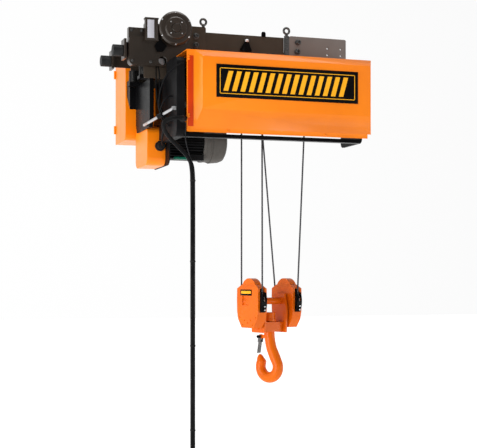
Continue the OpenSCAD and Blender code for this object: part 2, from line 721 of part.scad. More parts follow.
// Four falls: drum, block sheave b, upper sheave, block sheave a, dead end
module rope_falls() color(black) {
    a = sheave_span/2;
    near_a = contact(block_x, block_y, block_yaw, -a, -1);
    far_a = contact(block_x, block_y, block_yaw, -a, 1);
    near_b = contact(block_x, block_y, block_yaw, a, -1);
    far_b = contact(block_x, block_y, block_yaw, a, 1);
    near_u = contact(upper_x, upper_y, upper_yaw, 0, -1);
    far_u = contact(upper_x, upper_y, upper_yaw, 0, 1);
    strut([near_b.x, near_b.y, block_z], [rope_exit_x, drum_y + drum_r, drum_z], rope_d/2);
    strut([far_b.x, far_b.y, block_z], [far_u.x, far_u.y, upper_z], rope_d/2);
    strut([near_a.x, near_a.y, block_z], [near_u.x, near_u.y, upper_z], rope_d/2);
    strut([far_a.x, far_a.y, block_z], [far_a.x, far_a.y, drum_z], rope_d/2);
}

near_plate_left();
near_plate_middle();
near_plate_right();
far_side_plate();
bolts_and_screws();
lifting_eyes();
near_wheel_left();
near_wheel_right();
far_wheel_left();
far_wheel_right();
wheel_axles();
guide_roller_near_left();
guide_roller_far_left();
guide_roller_near_right();
guide_roller_far_right();
end_frame_left();
end_frame_right();
bumpers();
bumper_brackets();
travel_gearcase();
travel_motor();
travel_motor_cover();
travel_terminal_box();
travel_pinion();
gearbox_housing();
drum_frame();
drum();
rope_winding();
rope_guide();
drum_cover();
nameplate();
sheave_crossbeam();
upper_sheave();
hoist_motor_body();
motor_fan_cover();
motor_rotor();
brake_cover();
tie_rod();
control_box();
control_box_door();
contactor_panel();
cable_glands();
pendant_cable();
harness_cable();
pendant_body();
button_up();
button_down();
button_left();
button_right();
stop_button();
block_frame();
block_covers();
block_sheave_a();
block_sheave_b();
rope_guards();
crosshead();
hook();
hook_nut();
hook_latch();
rope_falls();
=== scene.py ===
"""The looks of the wire rope hoist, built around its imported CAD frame. Metres, Z up, X along the beam."""

import json
import math

import bmesh
import bpy
from mathutils import Matrix, Vector


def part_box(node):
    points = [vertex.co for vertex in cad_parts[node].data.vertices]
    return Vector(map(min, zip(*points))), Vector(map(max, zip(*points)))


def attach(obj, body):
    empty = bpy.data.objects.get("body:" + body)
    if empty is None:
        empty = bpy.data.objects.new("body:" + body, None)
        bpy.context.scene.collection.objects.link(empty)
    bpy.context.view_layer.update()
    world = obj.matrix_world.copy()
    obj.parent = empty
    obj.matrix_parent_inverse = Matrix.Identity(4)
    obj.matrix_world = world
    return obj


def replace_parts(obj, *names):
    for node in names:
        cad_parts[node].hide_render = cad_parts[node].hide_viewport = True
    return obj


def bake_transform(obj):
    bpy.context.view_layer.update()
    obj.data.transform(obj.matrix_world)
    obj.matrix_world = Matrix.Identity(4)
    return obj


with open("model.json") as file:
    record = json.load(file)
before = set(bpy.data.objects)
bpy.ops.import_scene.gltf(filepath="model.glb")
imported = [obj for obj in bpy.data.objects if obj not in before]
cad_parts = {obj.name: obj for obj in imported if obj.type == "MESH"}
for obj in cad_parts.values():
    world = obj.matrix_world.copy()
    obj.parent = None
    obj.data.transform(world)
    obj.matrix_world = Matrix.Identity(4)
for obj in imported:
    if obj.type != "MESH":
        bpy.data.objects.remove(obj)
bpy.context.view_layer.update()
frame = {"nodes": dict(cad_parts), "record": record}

BODY_OF = {
    node: body
    for body, nodes in frame["record"]["behaviour"]["bodies"].items()
    for node in nodes
}
ROOT = "trolley_hoist"

# Sizes shared with the CAD source
ROPE_D = 0.010
ROPE_PITCH = 0.0115
DRUM_R = 0.115
SHEAVE_R = 0.104
SHEAVE_SPAN = 0.256
BLOCK = Vector((0.256, 0.0, -1.270))
BLOCK_YAW = math.radians(17)
UPPER = Vector((0.197, -0.025, -0.140))
UPPER_YAW = math.radians(-17)
DRUM_AXIS = Vector((0.0, -0.300, -0.140))
ROPE_EXIT_X = 0.411
CABLE_D = 0.022
LIFT_DOWN = 5.5
HOOK_YAW = math.radians(-56)
HOOK_TURN = Matrix.Translation(BLOCK) @ Matrix.Rotation(HOOK_YAW, 4, "Z")
BLOCK_TURN = Matrix.Translation(BLOCK) @ Matrix.Rotation(BLOCK_YAW, 4, "Z")

# Directions
NEAR = (0, -1, 0)
ALONG_BEAM = (1, 0, 0)


def add_to_scene(name, data):
    obj = bpy.data.objects.new(name, data)
    bpy.context.scene.collection.objects.link(obj)
    return obj


# ---------- camera ----------

def make_camera():
    """Level camera, left of square on, a little above the hook block."""
    sensor_width = 36
    lens_in_widths = 2.373
    turned_right = math.radians(18.1)
    data = bpy.data.cameras.new("camera")
    data.sensor_width = sensor_width
    data.lens = sensor_width * lens_in_widths
    data.shift_y = 0.107
    camera = add_to_scene("camera", data)
    camera.location = (-2.0, -6.315, -1.117)
    camera.rotation_euler = (math.radians(90), 0, -turned_right)
    bpy.context.scene.camera = camera
    bpy.context.scene.view_settings.view_transform = "Standard"


# ---------- materials ----------

def nodes_of(name):
    """A new material, its node tree and its shader."""
    mat = bpy.data.materials.new(name)
    mat.use_nodes = True
    tree = mat.node_tree
    return mat, tree, tree.nodes["Principled BSDF"]


def noise(tree, scale, detail):
    """Noise in object space, so it keeps its scale on every piece."""
    coord = tree.nodes.new("ShaderNodeTexCoord")
    tex = tree.nodes.new("ShaderNodeTexNoise")
    tex.inputs["Scale"].default_value = scale
    tex.inputs["Detail"].default_value = detail
    tree.links.new(coord.outputs["Object"], tex.inputs["Vector"])
    return tex.outputs["Fac"]


def ramp(tree, fac, stops):
    """Colour ramp; each stop is (position, (r, g, b))."""
    node = tree.nodes.new("ShaderNodeValToRGB")
    band = node.color_ramp
    while len(band.elements) < len(stops):
        band.elements.new(0.5)
    for element, (place, colour) in zip(band.elements, stops):
        element.position = place
        element.color = (*colour, 1)
    tree.links.new(fac, node.inputs["Fac"])
    return node.outputs["Color"]


def span(tree, fac, low, high):
    """Stretches a factor from 0..1 to low..high."""
    node = tree.nodes.new("ShaderNodeMapRange")
    node.inputs["To Min"].default_value = low
    node.inputs["To Max"].default_value = high
    tree.links.new(fac, node.inputs["Value"])
    return node.outputs["Result"]


def bump(tree, shader, fac, strength, distance):
    """Fine relief on the shader's normal, from a factor."""
    node = tree.nodes.new("ShaderNodeBump")
    node.inputs["Strength"].default_value = strength
    node.inputs["Distance"].default_value = distance
    tree.links.new(fac, node.inputs["Height"])
    tree.links.new(node.outputs["Normal"], shader.inputs["Normal"])


def paint(name, dark, light, rough=(0.28, 0.42), coat=0.03, metallic=0.0, gloss=0.14):
    """Sprayed paint: slow colour drift, orange peel and duller patches."""
    grain = 900
    peel = 0.08
    mat, tree, shader = nodes_of(name)
    drift = ramp(tree, noise(tree, 5, 5), [(0.35, dark), (0.65, light)])
    tree.links.new(drift, shader.inputs["Base Color"])
    tree.links.new(span(tree, noise(tree, 22, 6), *rough), shader.inputs["Roughness"])
    shader.inputs["Coat Weight"].default_value = coat
    shader.inputs["Coat Roughness"].default_value = 0.2
    shader.inputs["Specular IOR Level"].default_value = gloss
    shader.inputs["Metallic"].default_value = metallic
    bump(tree, shader, noise(tree, grain, 2), peel, 0.0006)
    return mat


def metal(name, dark, light, rough, scale=140, depth=0.12):
    """Machined or drawn metal: a fine mottle, which also gives it its relief."""
    mat, tree, shader = nodes_of(name)
    mottle = noise(tree, scale, 5)
    tree.links.new(ramp(tree, mottle, [(0.3, dark), (0.7, light)]), shader.inputs["Base Color"])
    tree.links.new(span(tree, noise(tree, 30, 6), *rough), shader.inputs["Roughness"])
    shader.inputs["Metallic"].default_value = 1.0
    bump(tree, shader, mottle, depth, 0.0004)
    return mat


def cast(name, dark, light):
    """Painted casting: the sand's grain shows through."""
    rough = (0.35, 0.55)
    mat, tree, shader = nodes_of(name)
    tree.links.new(ramp(tree, noise(tree, 9, 6), [(0.3, dark), (0.7, light)]),
                   shader.inputs["Base Color"])
    tree.links.new(span(tree, noise(tree, 40, 4), *rough), shader.inputs["Roughness"])
    shader.inputs["Specular IOR Level"].default_value = 0.06
    bump(tree, shader, noise(tree, 420, 5), 0.25, 0.001)
    return mat


def soft(name, dark, light, rough, gloss=0.12):
    """Rubber and moulded plastic: fine grain and a slight bloom."""
    grain = 700
    depth = 0.2
    mat, tree, shader = nodes_of(name)
    tree.links.new(ramp(tree, noise(tree, 14, 5), [(0.3, dark), (0.7, light)]),
                   shader.inputs["Base Color"])
    tree.links.new(span(tree, noise(tree, 50, 4), *rough), shader.inputs["Roughness"])
    shader.inputs["Specular IOR Level"].default_value = gloss
    bump(tree, shader, noise(tree, grain, 3), depth, 0.0005)
    return mat


MATERIALS = {
    "orange_paint": paint("orange_paint", (0.86, 0.198, 0.001), (0.92, 0.222, 0.0015), gloss=0.3),
    "hook_orange": paint("hook_orange", (0.66, 0.110, 0.001), (0.74, 0.135, 0.0015), gloss=0.16),
    # Painted shade: a darker, redder copy of the orange for the shaded left strip of the cover flange
    "painted_shade_orange": paint("painted_shade_orange", (0.56, 0.036, 0.001), (0.64, 0.048, 0.002)),
    "bronze_paint": paint("bronze_paint", (0.022, 0.015, 0.010), (0.034, 0.024, 0.017),
                          rough=(0.24, 0.36), metallic=0.3, gloss=0.6),
    "plate_paint": paint("plate_paint", (0.058, 0.044, 0.032), (0.072, 0.055, 0.041),
                         rough=(0.36, 0.48), metallic=0.3),
    # Painted light: a lighter copy of plate_paint for the forward near plate on the right, which catches
    # more light
    "lit_plate_paint": paint("lit_plate_paint", (0.18, 0.158, 0.145), (0.21, 0.185, 0.17),
                               rough=(0.36, 0.48), metallic=0.3),
    "black_paint": paint("black_paint", (0.0025, 0.0025, 0.0028), (0.005, 0.005, 0.0055),
                         rough=(0.22, 0.36), coat=0.01, gloss=0.03),
    "black_iron": cast("black_iron", (0.003, 0.003, 0.0035), (0.008, 0.008, 0.0085)),
    "grey_iron": cast("grey_iron", (0.060, 0.055, 0.049), (0.095, 0.088, 0.080)),
    "bare_steel": metal("bare_steel", (0.42, 0.42, 0.43), (0.66, 0.66, 0.67), (0.22, 0.4)),
    "dark_steel": metal("dark_steel", (0.05, 0.05, 0.05), (0.16, 0.155, 0.15), (0.3, 0.5)),
    "oiled_steel": metal("oiled_steel", (0.010, 0.010, 0.010), (0.030, 0.029, 0.028), (0.32, 0.5)),
    "rope_steel": metal("rope_steel", (0.02, 0.02, 0.022), (0.10, 0.10, 0.105), (0.34, 0.52),
                        scale=300, depth=0.3),
    "black_rubber": soft("black_rubber", (0.008, 0.008, 0.008), (0.02, 0.02, 0.02), (0.4, 0.6)),
    "cable_rubber": soft("cable_rubber", (0.004, 0.004, 0.0045), (0.011, 0.011, 0.011), (0.24, 0.38),
                         gloss=0.03),
    "yellow_plastic": soft("yellow_plastic", (0.78, 0.46, 0.015), (0.88, 0.55, 0.03), (0.4, 0.55)),
    "white_plastic": soft("white_plastic", (0.72, 0.72, 0.70), (0.82, 0.82, 0.80), (0.3, 0.42)),
    "black_plastic": soft("black_plastic", (0.006, 0.006, 0.0065), (0.015, 0.015, 0.015), (0.35, 0.5)),
    "red_plastic": soft("red_plastic", (0.55, 0.01, 0.01), (0.68, 0.02, 0.02), (0.28, 0.4)),
    "label_grey": soft("label_grey", (0.42, 0.42, 0.46), (0.50, 0.50, 0.54), (0.4, 0.55)),
    "border_yellow": soft("border_yellow", (0.92, 0.40, 0.012), (0.97, 0.45, 0.02), (0.5, 0.65)),
    "green_tape": soft("green_tape", (0.0, 0.10, 0.06), (0.01, 0.17, 0.10), (0.4, 0.55)),
}


# ---------- mesh helpers ----------

ON_AXIS = 1e-9
SAME_POINT = 1e-5
SAME_PLANE = math.radians(1.5)


def finish_piece(obj, material, body, shade=True):
    """Gives a piece its material and the body that it rides on."""
    obj.data.materials.clear()
    obj.data.materials.append(MATERIALS[material])
    if shade:
        smooth_by_angle(obj.data)
    if body:
        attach(obj, body)
    return obj


def smooth_by_angle(mesh, angle=35):
    """Smooth shading, with sharp edges where faces meet at more than the angle."""
    bm = bmesh.new()
    bm.from_mesh(mesh)
    limit = math.radians(angle)
    for face in bm.faces:
        face.smooth = True
    for edge in bm.edges:
        edge.smooth = len(edge.link_faces) != 2 or edge.calc_face_angle(0) < limit
    bm.to_mesh(mesh)
    bm.free()


def make(name, verts, faces, material, body):
    """A piece from its points and faces."""
    mesh = bpy.data.meshes.new(name)
    mesh.from_pydata([tuple(v) for v in verts], [], faces)
    bm = bmesh.new()
    bm.from_mesh(mesh)
    bmesh.ops.recalc_face_normals(bm, faces=bm.faces)
    bm.to_mesh(mesh)
    bm.free()
    return finish_piece(add_to_scene(name, mesh), material, body)


def from_bm(name, bm, material, body):
    """A piece from a bmesh, which is used up."""
    mesh = bpy.data.meshes.new(name)
    bm.to_mesh(mesh)
    bm.free()
    return finish_piece(add_to_scene(name, mesh), material, body)


def box_bm(bm, low, high, radius, turn=None):
    """Adds a box with rounded edges to bm, turned by a matrix if one is given."""
    part = bmesh.new()
    bmesh.ops.create_cube(part, size=1)
    size = Vector(high) - Vector(low)
    middle = (Vector(high) + Vector(low)) / 2
    bmesh.ops.scale(part, vec=size, verts=part.verts)
    if radius:
        bmesh.ops.bevel(part, geom=list(part.edges), offset=radius, segments=2,
                        profile=0.5, affect="EDGES")
    bmesh.ops.translate(part, vec=middle, verts=part.verts)
    if turn:
        bmesh.ops.transform(part, matrix=turn, verts=part.verts)
    merge(bm, part)


def merge(bm, part):
    """Moves what part holds into bm."""
    mesh = bpy.data.meshes.new("scratch")
    part.to_mesh(mesh)
    part.free()
    bm.from_mesh(mesh)
    bpy.data.meshes.remove(mesh)


def rod_bm(bm, a, b, radius, sides=24, chamfer=0.001):
    """Adds a round bar from a to b with chamfered ends; sides of 6 makes a hexagon."""
    a, b = Vector(a), Vector(b)
    length = (b - a).length
    chamfer = min(chamfer, radius / 3, length / 3)
    profile = [(0, 0), (radius - chamfer, 0), (radius, chamfer),
               (radius, length - chamfer), (radius - chamfer, length), (0, length)]
    lathe_bm(bm, profile, a, b - a, sides)


def lathe_bm(bm, profile, origin, axis, sides):
    """Adds a turned shape: profile points are (radius, distance along the axis)."""
    part = bmesh.new()
    tilt = Vector(axis).to_track_quat("Z", "Y").to_matrix().to_4x4()
    turn = Matrix.Translation(Vector(origin)) @ tilt
    step = 2 * math.pi / sides
    rings = []
    for radius, height in profile:
        if radius < ON_AXIS:
            rings.append([part.verts.new((0, 0, height))])
            continue
        rings.append([part.verts.new((radius * math.cos(k * step), radius * math.sin(k * step), height))
                      for k in range(sides)])
    for low, high in zip(rings, rings[1:]):
        for k in range(sides):
            n = (k + 1) % sides
            if len(low) == 1 and len(high) == 1:
                continue
            if len(low) == 1:
                part.faces.new((low[0], high[n], high[k]))
            elif len(high) == 1:
                part.faces.new((low[k], low[n], high[0]))
            else:
                part.faces.new((low[k], low[n], high[n], high[k]))
    bmesh.ops.recalc_face_normals(part, faces=part.faces)
    bmesh.ops.transform(part, matrix=turn, verts=part.verts)
    merge(bm, part)


def prism_bm(bm, outline, near_y, far_y):
    """Adds an upright outline of (x, z) points, as thick as from near_y to far_y."""
    front = [bm.verts.new((x, near_y, z)) for x, z in outline]
    back = [bm.verts.new((x, far_y, z)) for x, z in outline]
    bm.faces.new(front)
    bm.faces.new(back[::-1])
    for k in range(len(outline)):
        n = (k + 1) % len(outline)
        bm.faces.new((front[k], back[k], back[n], front[n]))


def lathe(name, profile, origin, axis, material, body, sides):
    """A turned piece; see lathe_bm."""
    bm = bmesh.new()
    lathe_bm(bm, profile, origin, axis, sides)
    return from_bm(name, bm, material, body)


def curve_points(points, steps):
    """A smooth curve through the points, the same one that the CAD cable follows."""
    p = [Vector(q) for q in points]
    out = []
    for i in range(len(p) - 1):
        a, b, c, e = p[max(i - 1, 0)], p[i], p[i + 1], p[min(i + 2, len(p) - 1)]
        for k in range(steps):
            f = k / steps
            out.append(0.5 * (2 * b + (c - a) * f + (2 * a - 5 * b + 4 * c - e) * f * f
                              + (3 * b - a - 3 * c + e) * f ** 3))
    out.append(p[-1])
    return out


def sweep(name, path, section, material, body):
    """Sweeps a ring of points along a path; section(i, share) gives the ring's 2-D points."""
    path = [Vector(p) for p in path]
    count = len(path)
    verts, faces = [], []
    tangent = (path[1] - path[0]).normalized()
    side = tangent.orthogonal().normalized()
    for i, point in enumerate(path):
        ahead = (path[min(i + 1, count - 1)] - path[max(i - 1, 0)]).normalized()
        side = (tangent.rotation_difference(ahead) @ side).normalized()
        tangent = ahead
        up = tangent.cross(side)
        ring = section(i, i / (count - 1))
        verts += [point + side * x + up * y for x, y in ring]
    n = len(ring)
    for i in range(count - 1):
        for k in range(n):
            j = (k + 1) % n
            faces.append((i * n + k, i * n + j, (i + 1) * n + j, (i + 1) * n + k))
    faces.append(tuple(range(n))[::-1])
    faces.append(tuple(range((count - 1) * n, count * n)))
    return make(name, verts, faces, material, body)


def ellipse(half_x, half_y, sides):
    """The points of a ring, as (x, y)."""
    return [(half_x * math.cos(2 * math.pi * k / sides), half_y * math.sin(2 * math.pi * k / sides))
            for k in range(sides)]


def circle_section(radius, sides):
    """A round section for sweep, the same all along."""
    ring = ellipse(radius, radius, sides)
    return lambda i, share: ring


def wire(name, points, radius, material, body):
    """A thin cable on a smooth curve through the points."""
    return sweep(name, curve_points(points, 8), circle_section(radius, 10), material, body)


def refined(node, material, width):
    """A copy of a CAD node's mesh with its flat faces whole again and its edges rounded."""
    angle = 30
    bm = bmesh.new()
    bm.from_mesh(frame["nodes"][node].data)
    bmesh.ops.remove_doubles(bm, verts=bm.verts, dist=SAME_POINT)
    bmesh.ops.dissolve_limit(bm, angle_limit=SAME_PLANE, verts=bm.verts, edges=bm.edges)
    mesh = bpy.data.meshes.new(node + "_finished")
    bm.to_mesh(mesh)
    bm.free()
    smooth_by_angle(mesh, angle)
    obj = add_to_scene(node + "_finished", mesh)
    bevel = obj.modifiers.new("edges", "BEVEL")
    bevel.width = width
    bevel.segments = 2
    bevel.limit_method = "ANGLE"
    bevel.angle_limit = math.radians(angle)
    bevel.harden_normals = True
    bpy.context.view_layer.objects.active = obj
    bpy.context.view_layer.update()
    evaluated = obj.evaluated_get(bpy.context.evaluated_depsgraph_get())
    obj.data = bpy.data.meshes.new_from_object(evaluated)
    obj.modifiers.clear()
    finish_piece(obj, material, BODY_OF[node], shade=False)
    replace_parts(obj, node)


def contact(centre, yaw, along, side):
    """Where a fall touches a sheave: side -1 is near, +1 is far."""
    turn = Matrix.Rotation(yaw, 3, "Z")
    return centre + turn @ Vector((along, side * SHEAVE_R, 0))


# ---------- cords ----------

# From the gland to the station; from point HANGS_FROM on the cable hangs down
CABLE_POINTS = [(-0.400, -0.478, -0.280), (-0.402, -0.496, -0.281), (-0.425, -0.522, -0.283),
                (-0.480, -0.534, -0.290), (-0.520, -0.534, -0.312), (-0.522, -0.530, -0.345),
                (-0.490, -0.522, -0.390), (-0.435, -0.514, -0.440), (-0.385, -0.508, -0.490),
                (-0.364, -0.505, -0.550), (-0.360, -0.505, -0.700), (-0.360, -0.505, -1.100),
                (-0.360, -0.505, -1.500), (-0.360, -0.505, -1.900), (-0.360, -0.505, -2.250)]


HANGS_FROM = 9


def make_cords():
    """The pendant cable, from its gland to the station."""
    path = curve_points(CABLE_POINTS, 10)
    cable = sweep("pendant_cable_jacket", path, circle_section(CABLE_D / 2, 20), "cable_rubber", ROOT)
    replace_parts(cable, "pendant_cable")


# ---------- frame pieces that only need rounded edges and a material ----------

# node: (material, edge radius in metres)
REFINED = {
    "near_plate_left": ("plate_paint", 0.0012), "near_plate_middle": ("plate_paint", 0.001),
    "near_plate_right": ("lit_plate_paint", 0.0012), "far_side_plate": ("bronze_paint", 0.0012),
    # near_plate_right takes the lighter copy of plate_paint, as painted light
    "bumper_brackets": ("bronze_paint", 0.0015), "travel_gearcase": ("bronze_paint", 0.005),
    "travel_motor": ("bronze_paint", 0.003), "travel_motor_cover": ("bronze_paint", 0.0018),
    "end_frame_left": ("black_paint", 0.003), "end_frame_right": ("black_paint", 0.003),
    "gearbox_housing": ("black_iron", 0.004), "drum_frame": ("black_paint", 0.0015),
    "sheave_crossbeam": ("black_paint", 0.0015), "brake_cover": ("orange_paint", 0.006),
    "control_box": ("orange_paint", 0.003), "control_box_door": ("orange_paint", 0.0012),
    "hoist_motor_body": ("black_iron", 0.001), "motor_fan_cover": ("grey_iron", 0.002),
    "drum_cover": ("orange_paint", 0.0009), "block_covers": ("hook_orange", 0.005),
    "block_frame": ("hook_orange", 0.0025), "crosshead": ("hook_orange", 0.003),
    "hook_nut": ("hook_orange", 0.002), "hook_latch": ("dark_steel", 0.0006),
    "guide_roller_near_left": ("oiled_steel", 0.002), "guide_roller_far_left": ("oiled_steel", 0.002),
    "guide_roller_near_right": ("oiled_steel", 0.002), "guide_roller_far_right": ("oiled_steel", 0.002),
    "near_wheel_left": ("dark_steel", 0.0008), "near_wheel_right": ("dark_steel", 0.0015),
    "far_wheel_left": ("dark_steel", 0.0015), "far_wheel_right": ("dark_steel", 0.0015),
    "wheel_axles": ("bare_steel", 0.001), "travel_pinion": ("bare_steel", 0.0008),
    "upper_sheave": ("dark_steel", 0.0012), "block_sheave_a": ("dark_steel", 0.0012),
    "block_sheave_b": ("dark_steel", 0.0012), "rope_guards": ("black_paint", 0.0015),
    "rope_guide": ("bronze_paint", 0.0015), "motor_rotor": ("bare_steel", 0.001),
    "contactor_panel": ("black_plastic", 0.0015), "cable_glands": ("black_plastic", 0.001),
    "lifting_eyes": ("dark_steel", 0.0006), "tie_rod": ("bare_steel", 0.001),
    "bumpers": ("black_rubber", 0.004), "pendant_body": ("yellow_plastic", 0.003),
    "button_up": ("white_plastic", 0.0015), "button_down": ("black_plastic", 0.0015),
    "button_left": ("white_plastic", 0.0015), "button_right": ("black_plastic", 0.0015),
    "stop_button": ("red_plastic", 0.002),
}


def make_refined():
    """Every node in the table, with its edges rounded."""
    for node, (material, width) in REFINED.items():
        refined(node, material, width)


# ---------- trolley and travel drive ----------

PLATE_FACE_Y = -0.172


def bolt_bm(bm, x, y, z, across, washer, height):
    """A hexagon bolt head with its washer, facing the near side."""
    thick = 0.0025
    lathe_bm(bm, [(0, 0), (washer, 0), (washer, thick), (0, thick)], (x, y, z), NEAR, 32)
    rod_bm(bm, (x, y - thick, z), (x, y - thick - height, z), across / 2, sides=6, chamfer=0.0015)


def make_plate_bolts():
    """The four big plate bolts, each a socket cap on a washer."""
    spots = [(-0.244, 0.230), (0.370, 0.233), (0.366, 0.178), (-0.244, 0.178)]
    cap = [(0, 0), (0.017, 0), (0.017, 0.004), (0.0135, 0.005), (0.0135, 0.018),
           (0.0115, 0.020), (0.0075, 0.020), (0.007, 0.012), (0, 0.012)]
    for index, (x, z) in enumerate(spots):
        head = lathe(f"plate_bolt_{index}", cap, (x, PLATE_FACE_Y, z), NEAR, "dark_steel", ROOT, 40)
    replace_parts(head, "bolts_and_screws")


def make_cover_screws():
    """Round-headed screws of the drum cover."""
    flange_face_y = -0.465
    spots = [(-0.150, -0.335), (0.420, -0.335), (-0.368, 0.055), (-0.368, 0.043),
             (-0.368, -0.255), (-0.368, -0.267)]
    head = [(0, 0), (0.0062, 0), (0.0062, 0.0006), (0.0045, 0.0036), (0.002, 0.0046), (0, 0.0046)]
    bm = bmesh.new()
    for x, z in spots:
        lathe_bm(bm, head, (x, flange_face_y, z), NEAR, 24)
    from_bm("cover_screws", bm, "orange_paint", ROOT)


def make_travel_cover_bolts():
    """Six bolts on the rim of the travel motor's cover and four round its hub."""
    centre_x, centre_z = -0.387, 0.246
    bm = bmesh.new()
    # count, first angle, radius, face, then the sizes of the bolt
    for count, first, radius, face_y, across, washer, height in [
            (6, 30, 0.088, -0.266, 0.009, 0.006, 0.004),
            (4, 45, 0.044, -0.282, 0.006, 0.0042, 0.002)]:
        for k in range(count):
            angle = math.radians(first + 360 // count * k)
            bolt_bm(bm, centre_x + radius * math.cos(angle), face_y,
                    centre_z + radius * math.sin(angle), across, washer, height)
    from_bm("travel_cover_bolts", bm, "bare_steel", ROOT)


def make_terminal_box():
    """Terminal box of the travel motor, rimmed at top and bottom, with a blank label."""
    bm = bmesh.new()
    box_bm(bm, (-0.556, -0.256, 0.174), (-0.484, -0.224, 0.297), 0.003)
    box_bm(bm, (-0.559, -0.2575, 0.290), (-0.481, -0.222, 0.2985), 0.0015)
    box_bm(bm, (-0.559, -0.2575, 0.1725), (-0.481, -0.222, 0.180), 0.0015)
    case = from_bm("terminal_box_case", bm, "bronze_paint", ROOT)
    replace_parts(case, "travel_terminal_box")
    bm = bmesh.new()
    box_bm(bm, (-0.545, -0.2570, 0.186), (-0.507, -0.2555, 0.286), 0.0004)
    from_bm("terminal_box_label", bm, "label_grey", ROOT)


def make_gearcase_details():
    """Bolts of the travel gearcase and the pointed lug on it."""
    upper_face_y, lower_face_y = -0.210, -0.224
    spots = [(-0.625, upper_face_y, 0.232), (-0.625, upper_face_y, 0.160),
             (-0.568, upper_face_y, 0.232), (-0.625, lower_face_y, 0.060),
             (-0.520, lower_face_y, 0.060), (-0.330, lower_face_y, 0.060),
             (-0.320, lower_face_y, 0.180)]
    bm = bmesh.new()
    for x, y, z in spots:
        bolt_bm(bm, x, y, z, 0.013, 0.009, 0.007)
    from_bm("gearcase_bolts", bm, "dark_steel", ROOT)

    lug = bmesh.new()
    outline = [(-0.50, 0.150), (-0.47, 0.190), (-0.43, 0.150), (-0.45, 0.120), (-0.485, 0.115)]
    prism_bm(lug, outline, -0.236, -0.228)
    bmesh.ops.recalc_face_normals(lug, faces=lug.faces)
    bmesh.ops.bevel(lug, geom=list(lug.edges), offset=0.0015, segments=2, affect="EDGES")
    from_bm("gearcase_lug", lug, "black_paint", ROOT)


def make_track_pin():
    """The dark conical pin and the stud that stand behind the drum cover's top edge."""
    leaning = (0, -0.35, 1)
    cone = [(0, 0), (0.034, 0), (0.034, 0.006), (0.012, 0.052), (0.008, 0.058), (0, 0.058)]
    lathe("conical_pin", cone, (0.055, -0.162, 0.168), leaning, "black_paint", ROOT, 40)
    lathe("conical_pin_tip", [(0.0, 0), (0.013, 0), (0.013, 0.010), (0.010, 0.013), (0, 0.013)],
          (0.055, -0.1795, 0.218), leaning, "bare_steel", ROOT, 32)
    lathe("stop_stud", [(0, 0), (0.013, 0), (0.013, 0.020), (0.009, 0.028), (0, 0.029)],
          (0.165, -0.155, 0.256), (0, 0, 1), "black_paint", ROOT, 32)


# ---------- drum, cover and frame ----------

def make_flange_shade_strip():
    """The cover flange's left strip: a thin sheet in a deeper, redder orange, which is painted shade."""
    bm = bmesh.new()
    # Painted shade: the sheet lies just in front of the flange's left strip
    box_bm(bm, (-0.3735, -0.4658, -0.318), (-0.3425, -0.4648, 0.062), 0.0003)
    from_bm("cover_flange_shade_strip", bm, "painted_shade_orange", ROOT)


COVER_FACE_Y = -0.501


def make_nameplate():
    """Plain black plate with a thin border and a generic band of slanted bars, no lettering."""
    x0, x1, z0, z1 = -0.225, 0.603, -0.160, 0.018
    bm = bmesh.new()
    box_bm(bm, (x0, COVER_FACE_Y - 0.003, z0), (x1, COVER_FACE_Y + 0.0003, z1), 0.001)
    plate = from_bm("nameplate_sheet", bm, "black_paint", ROOT)
    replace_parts(plate, "nameplate")
    inset = 0.019
    line = 0.0035
    print_front = COVER_FACE_Y - 0.0034
    print_back = COVER_FACE_Y - 0.0028
    bm = bmesh.new()
    for low, high in [((x0 + inset, z0 + inset), (x1 - inset, z0 + inset + line)),
                      ((x0 + inset, z1 - inset - line), (x1 - inset, z1 - inset)),
                      ((x0 + inset, z0 + inset), (x0 + inset + line, z1 - inset)),
                      ((x1 - inset - line, z0 + inset), (x1 - inset, z1 - inset))]:
        box_bm(bm, (low[0], print_front, low[1]), (high[0], print_back, high[1]), 0)
    from_bm("nameplate_border", bm, "border_yellow", ROOT)

    bars = 15
    lean = 0.030
    bar_share = 0.56
    left, right = x0 + inset + 0.020, x1 - inset - 0.020
    bottom, top = z0 + inset + 0.016, z1 - inset - 0.016
    step = (right - left - lean) / bars
    bm = bmesh.new()
    for k in range(bars):
        a = left + k * step
        b = a + step * bar_share
        prism_bm(bm, [(a, bottom), (b, bottom), (b + lean, top), (a + lean, top)],
                 print_front, print_back)
    bmesh.ops.recalc_face_normals(bm, faces=bm.faces)
    from_bm("nameplate_bars", bm, "border_yellow", ROOT)


def helix_path(start_x, turns, radius, steps):
    """The rope's middle line on the drum, one pitch to the turn."""
    out = []
    for k in range(turns * steps + 1):
        angle = 2 * math.pi * k / steps
        out.append((start_x + ROPE_PITCH * k / steps, DRUM_AXIS.y + radius * math.cos(angle),
                    DRUM_AXIS.z + radius * math.sin(angle)))
    return out


def make_drum():
    """Grooved drum with end flanges, and the rope wound on it turn beside turn."""
    core = DRUM_R - ROPE_D / 2
    flange = core + 0.016
    flange_w = 0.008
    hub = 0.060
    collar = 0.090
    shaft = 0.0299
    x0, x1 = -0.335, 0.595
    length = x1 - x0
    profile = [(0, -0.087), (hub, -0.087), (hub, -0.083), (collar, -0.083), (collar, -0.061),
               (hub, -0.061), (hub, -flange_w), (flange, -flange_w), (flange, 0.0), (core, 0.0)]
    for k in range(int(length / ROPE_PITCH)):
        for share, depth in ((0.1, 0.0), (0.3, 0.0022), (0.5, 0.0030), (0.7, 0.0022), (0.9, 0.0)):
            profile.append((core - depth, (k + share) * ROPE_PITCH))
    profile += [(core, length), (flange, length), (flange, length + flange_w),
                (shaft, length + flange_w), (shaft, length + 0.061), (0, length + 0.061)]
    drum = lathe("grooved_drum", profile, (x0, DRUM_AXIS.y, DRUM_AXIS.z), ALONG_BEAM, "dark_steel",
                 "drum", 72)
    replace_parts(drum, "drum")
    turns = 33
    gap = 0.0001
    path = helix_path(ROPE_EXIT_X - turns * ROPE_PITCH, turns, DRUM_R, 40)
    rope = sweep("wound_rope", path, circle_section(ROPE_D / 2 - gap, 8), "rope_steel", "drum")
    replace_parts(rope, "rope_winding")


